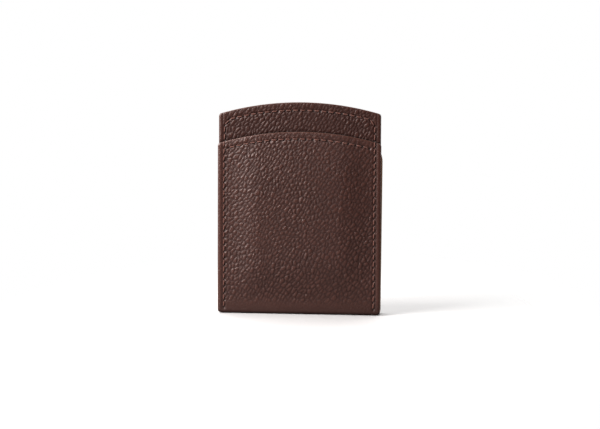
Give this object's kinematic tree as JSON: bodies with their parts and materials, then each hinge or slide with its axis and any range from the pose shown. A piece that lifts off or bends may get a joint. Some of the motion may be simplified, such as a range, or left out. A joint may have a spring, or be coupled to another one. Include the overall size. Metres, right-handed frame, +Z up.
{
  "type": "wallet",
  "caption": "Slim fold-over pocket wallet of pebbled leather: stitched card pocket before a taller arched panel, on a flat spine, with a magnetic flap behind.",
  "frame": {"origin": "middle of the flat underside of the spine, which the wallet stands on", "axes": "+X across the wallet to the viewer's right when the card pocket is in front, +Y from the card pocket back to the flap, +Z up to the arched top"},
  "size_m": [0.0744, 0.0239, 0.0965],
  "materials": {
    "pebbled_leather": "pebbled, semi-matte, painted edges",
    "lining_leather": "fine suede",
    "pocket_cloth": "fine twill",
    "leather_board": "bonded leather fibre, matte",
    "flap_card": "matte",
    "nickel_magnet": "satin nickel plate",
    "seam_thread": "waxed polyester"
  },
  "bodies": {
    "spine": {"spine_leather": "pebbled_leather", "spine_lining": "lining_leather"},
    "card_section": {"pocket_leather": "pebbled_leather", "pocket_lining": "pocket_cloth", "mouth_thread": "seam_thread", "panel_leather": "pebbled_leather", "panel_board": "leather_board", "panel_magnet_left": "nickel_magnet", "panel_magnet_right": "nickel_magnet", "panel_lining": "lining_leather", "panel_thread": "seam_thread", "panel_under_thread": "seam_thread"},
    "flap": {"flap_leather": "pebbled_leather", "flap_board": "flap_card", "flap_magnet_left": "nickel_magnet", "flap_magnet_right": "nickel_magnet", "flap_lining": "lining_leather", "flap_thread": "seam_thread", "flap_under_thread": "seam_thread"}
  },
  "joints": [
    {"name": "card_fold", "type": "hinge", "parent": "spine", "child": "card_section", "pos_m": [0, -0.0055, 0], "axis": [1, 0, 0], "range_deg": [0, 84]},
    {"name": "flap_fold", "type": "hinge", "parent": "spine", "child": "flap", "pos_m": [0, 0.0055, 0], "axis": [-1, 0, 0], "range_deg": [-10.4, 81]}
  ]
}
